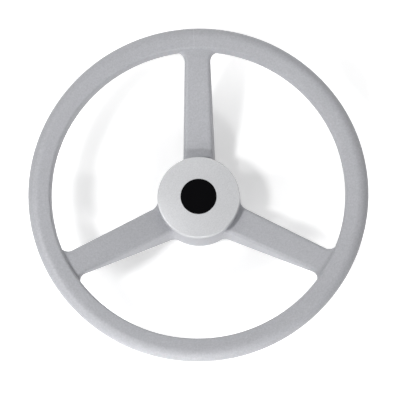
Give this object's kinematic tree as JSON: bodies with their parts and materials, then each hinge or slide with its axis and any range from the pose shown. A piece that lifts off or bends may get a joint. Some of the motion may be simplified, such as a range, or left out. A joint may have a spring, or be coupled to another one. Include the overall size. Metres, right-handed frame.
{
  "type": "boat steering wheel",
  "caption": "Dished, spoked steering wheel for a small boat helm, a grey moulding with a tapered metal insert in its hub and a lift-off centre cap with a plain black badge.",
  "frame": {"origin": "on the shaft's axis, at the hub's back face", "axes": "+Z along the shaft's axis towards the driver, +Y towards the twelve o'clock spoke"},
  "size_m": [0.3349, 0.335, 0.08],
  "materials": {
    "wheel_plastic": "fine matt grain, light grey",
    "cap_plastic": "satin, light grey",
    "badge_black": "gloss black",
    "insert_metal": "machined, dull"
  },
  "bodies": {
    "wheel": {"wheel_body": "wheel_plastic", "taper_insert": "insert_metal"},
    "cap": {"centre_cap": "cap_plastic", "cap_badge": "badge_black"}
  },
  "joints": [
    {"name": "cap_lift", "type": "slide", "parent": "wheel", "child": "cap", "axis": [0, 0, 1], "range_m": [0, 0.06]}
  ]
}
